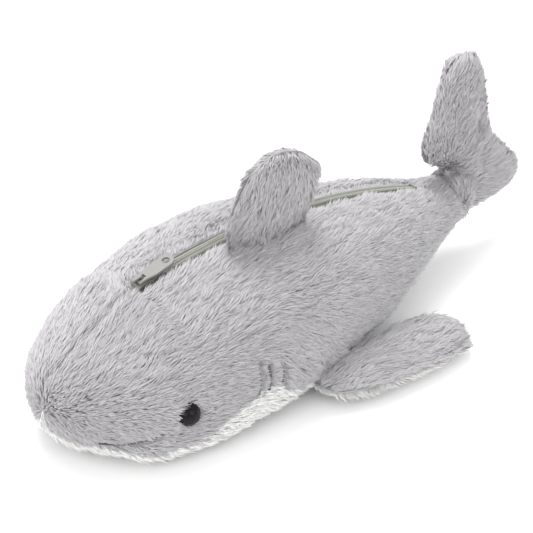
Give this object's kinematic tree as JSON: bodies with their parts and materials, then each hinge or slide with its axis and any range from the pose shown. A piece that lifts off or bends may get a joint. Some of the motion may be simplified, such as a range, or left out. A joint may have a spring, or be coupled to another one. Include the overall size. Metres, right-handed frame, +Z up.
{
  "type": "plush shark zip pouch",
  "caption": "Plush shark pouch in grey and white fur, with a coil zipper along its back, black eyes, a fin on top, two side fins and a tail fin.",
  "frame": {"origin": "middle of the flat strip under the belly that the pouch rests on", "axes": "-X towards the nose and +X towards the tail, -Y towards the shark's own left, +Z up"},
  "size_m": [0.3794, 0.1886, 0.1403],
  "materials": {
    "grey_fur": "short grey plush fur, laid from head to tail, in soft clumps",
    "white_fur": "short white plush fur",
    "polyester_fibre": "loose white polyester stuffing",
    "lining_cloth": "thin plain-woven lining",
    "zip_tape_cloth": "woven zipper tape, light olive grey",
    "coil_nylon": "light olive grey nylon coil",
    "slider_metal": "satin light grey coated metal",
    "eye_plastic": "glossy black",
    "washer_plastic": "plain white moulded plastic",
    "stitch_thread": "dark grey sewing thread"
  },
  "bodies": {
    "pouch": {"side_panel_left": "grey_fur", "side_panel_right": "grey_fur", "belly_panel": "white_fur", "lining": "lining_cloth", "head_filling": "polyester_fibre", "eye_left": "eye_plastic", "eye_right": "eye_plastic", "eye_washer_left": "washer_plastic", "eye_washer_right": "washer_plastic", "bottom_stop": "slider_metal", "top_stop_left": "slider_metal", "top_stop_right": "slider_metal", "gill_stitch_left_1": "stitch_thread", "gill_stitch_left_2": "stitch_thread", "gill_stitch_left_3": "stitch_thread", "gill_stitch_right_1": "stitch_thread", "gill_stitch_right_2": "stitch_thread", "gill_stitch_right_3": "stitch_thread", "mouth_stitch_left": "stitch_thread", "mouth_stitch_right": "stitch_thread"},
    "lip_left": {"zip_tape_left": "zip_tape_cloth", "zip_coil_left": "coil_nylon"},
    "lip_right": {"zip_tape_right": "zip_tape_cloth", "zip_coil_right": "coil_nylon"},
    "slider": {"slider_body": "slider_metal", "slider_crown": "slider_metal"},
    "pull": {"pull_tab": "slider_metal"},
    "dorsal_fin": {"dorsal_fin_panel_left": "grey_fur", "dorsal_fin_panel_right": "grey_fur", "dorsal_fin_filling": "polyester_fibre"},
    "pectoral_left": {"pectoral_left_upper": "grey_fur", "pectoral_left_lower": "white_fur", "pectoral_left_filling": "polyester_fibre"},
    "pectoral_right": {"pectoral_right_upper": "grey_fur", "pectoral_right_lower": "white_fur", "pectoral_right_filling": "polyester_fibre"},
    "tail": {"stalk_panel_left": "grey_fur", "stalk_panel_right": "grey_fur", "tail_fin_panel_left": "grey_fur", "tail_fin_panel_right": "grey_fur", "tail_fin_filling": "polyester_fibre"}
  },
  "joints": [
    {"name": "zipper_slide", "type": "hinge", "parent": "pouch", "child": "slider", "pos_m": [-0.01864, 0, -0.30606], "axis": [0, 1, 0], "range_deg": [0, 30.3]},
    {"name": "lip_left_part", "type": "slide", "parent": "pouch", "child": "lip_left", "axis": [0, -1, 0], "range_m": [0, 0.007], "deforming": ["zip_tape_left", "zip_coil_left"]},
    {"name": "lip_right_part", "type": "slide", "parent": "pouch", "child": "lip_right", "axis": [0, 1, 0], "range_m": [0, 0.007], "deforming": ["zip_tape_right", "zip_coil_right"]},
    {"name": "pull_swing", "type": "hinge", "parent": "slider", "child": "pull", "pos_m": [-0.08504, 0, 0.08333], "axis": [0, -1, 0], "range_deg": [0, 168]},
    {"name": "dorsal_fin_bend", "type": "hinge", "parent": "pouch", "child": "dorsal_fin", "pos_m": [-0.002, -0.0135, 0.0911], "axis": [1, 0, 0], "range_deg": [-22, 22], "stiffness_Nm_per_rad": 0.06},
    {"name": "pectoral_left_flap", "type": "hinge", "parent": "pouch", "child": "pectoral_left", "pos_m": [0.009, -0.06348, 0.0195], "axis": [-0.9842, -0.177, 0], "range_deg": [0, 40], "stiffness_Nm_per_rad": 0.05},
    {"name": "pectoral_right_flap", "type": "hinge", "parent": "pouch", "child": "pectoral_right", "pos_m": [0.009, 0.06348, 0.0195], "axis": [0.9842, -0.177, 0], "range_deg": [0, 40], "stiffness_Nm_per_rad": 0.05},
    {"name": "tail_wag", "type": "hinge", "parent": "pouch", "child": "tail", "pos_m": [0.149, 0, 0.04], "axis": [0, 0, 1], "range_deg": [-30, 30], "stiffness_Nm_per_rad": 0.06, "deforming": ["stalk_panel_left", "stalk_panel_right"]}
  ],
  "couplings": [
    {"joint": "lip_left_part", "follows": "zipper_slide", "m_per_rad": 0.0132},
    {"joint": "lip_right_part", "follows": "zipper_slide", "m_per_rad": 0.0132}
  ]
}
